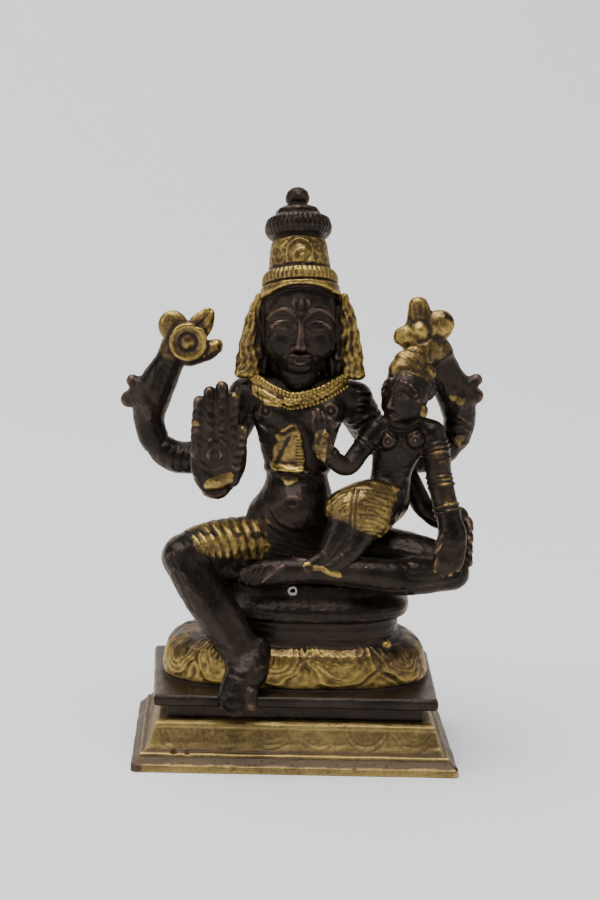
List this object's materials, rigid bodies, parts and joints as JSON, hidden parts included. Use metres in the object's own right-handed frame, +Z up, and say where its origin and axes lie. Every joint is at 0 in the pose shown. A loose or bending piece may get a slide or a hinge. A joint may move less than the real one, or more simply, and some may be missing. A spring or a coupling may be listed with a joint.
{
  "type": "vishnu figure",
  "caption": "Small cast-brass shrine image: a seated four-armed god with his consort on his thigh, on a lotus seat and a moulded plinth.",
  "frame": {"origin": "middle of the plinth's underside", "axes": "+Z up, the figures face -Y, +X towards the consort's side"},
  "size_m": [0.0726, 0.045, 0.1134],
  "materials": {
    "patinated_brass": "dark brown patina, rubbed to bare brass on the ornaments",
    "worn_brass": "aged and handled, satin, browned in the hollows"
  },
  "bodies": {
    "root": {"figure_group": "patinated_brass", "plinth": "worn_brass"}
  },
  "joints": []
}
